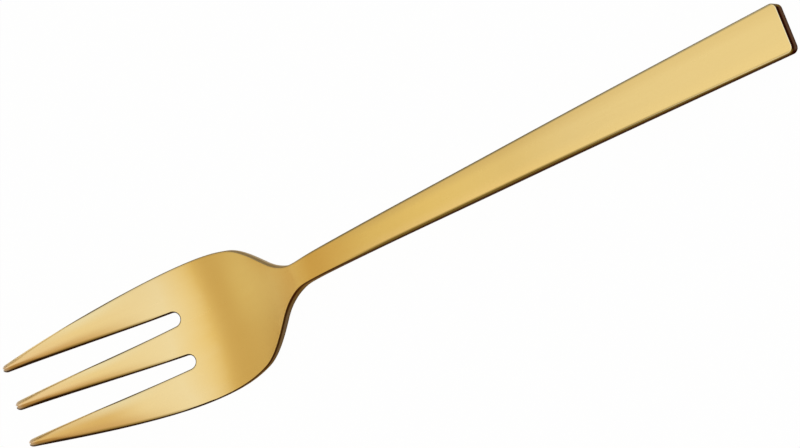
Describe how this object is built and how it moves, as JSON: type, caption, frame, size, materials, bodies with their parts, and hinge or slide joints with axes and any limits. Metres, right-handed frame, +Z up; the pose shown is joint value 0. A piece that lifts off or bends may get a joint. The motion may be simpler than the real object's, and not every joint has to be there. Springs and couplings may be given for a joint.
{
  "type": "pastry fork",
  "caption": "Slim pastry fork with tapered blunt tines, an oval shallow-dished head, a narrow raised neck and a flat bar handle that widens to a square-cut end.",
  "frame": {"origin": "on the table under the middle of the fork's length, on its centre line", "axes": "+X along the fork from the tips of the tines towards the end of the handle, +Y across it towards the right-hand tine as the fork is held, +Z up"},
  "size_m": [0.1504, 0.023, 0.0173],
  "materials": {
    "satin_gold": "stainless steel with a satin, gold-coloured vapour-deposited film"
  },
  "bodies": {
    "root": {"handle": "satin_gold", "neck": "satin_gold", "head": "satin_gold", "left_tine": "satin_gold", "middle_tine": "satin_gold", "right_tine": "satin_gold"}
  },
  "joints": []
}
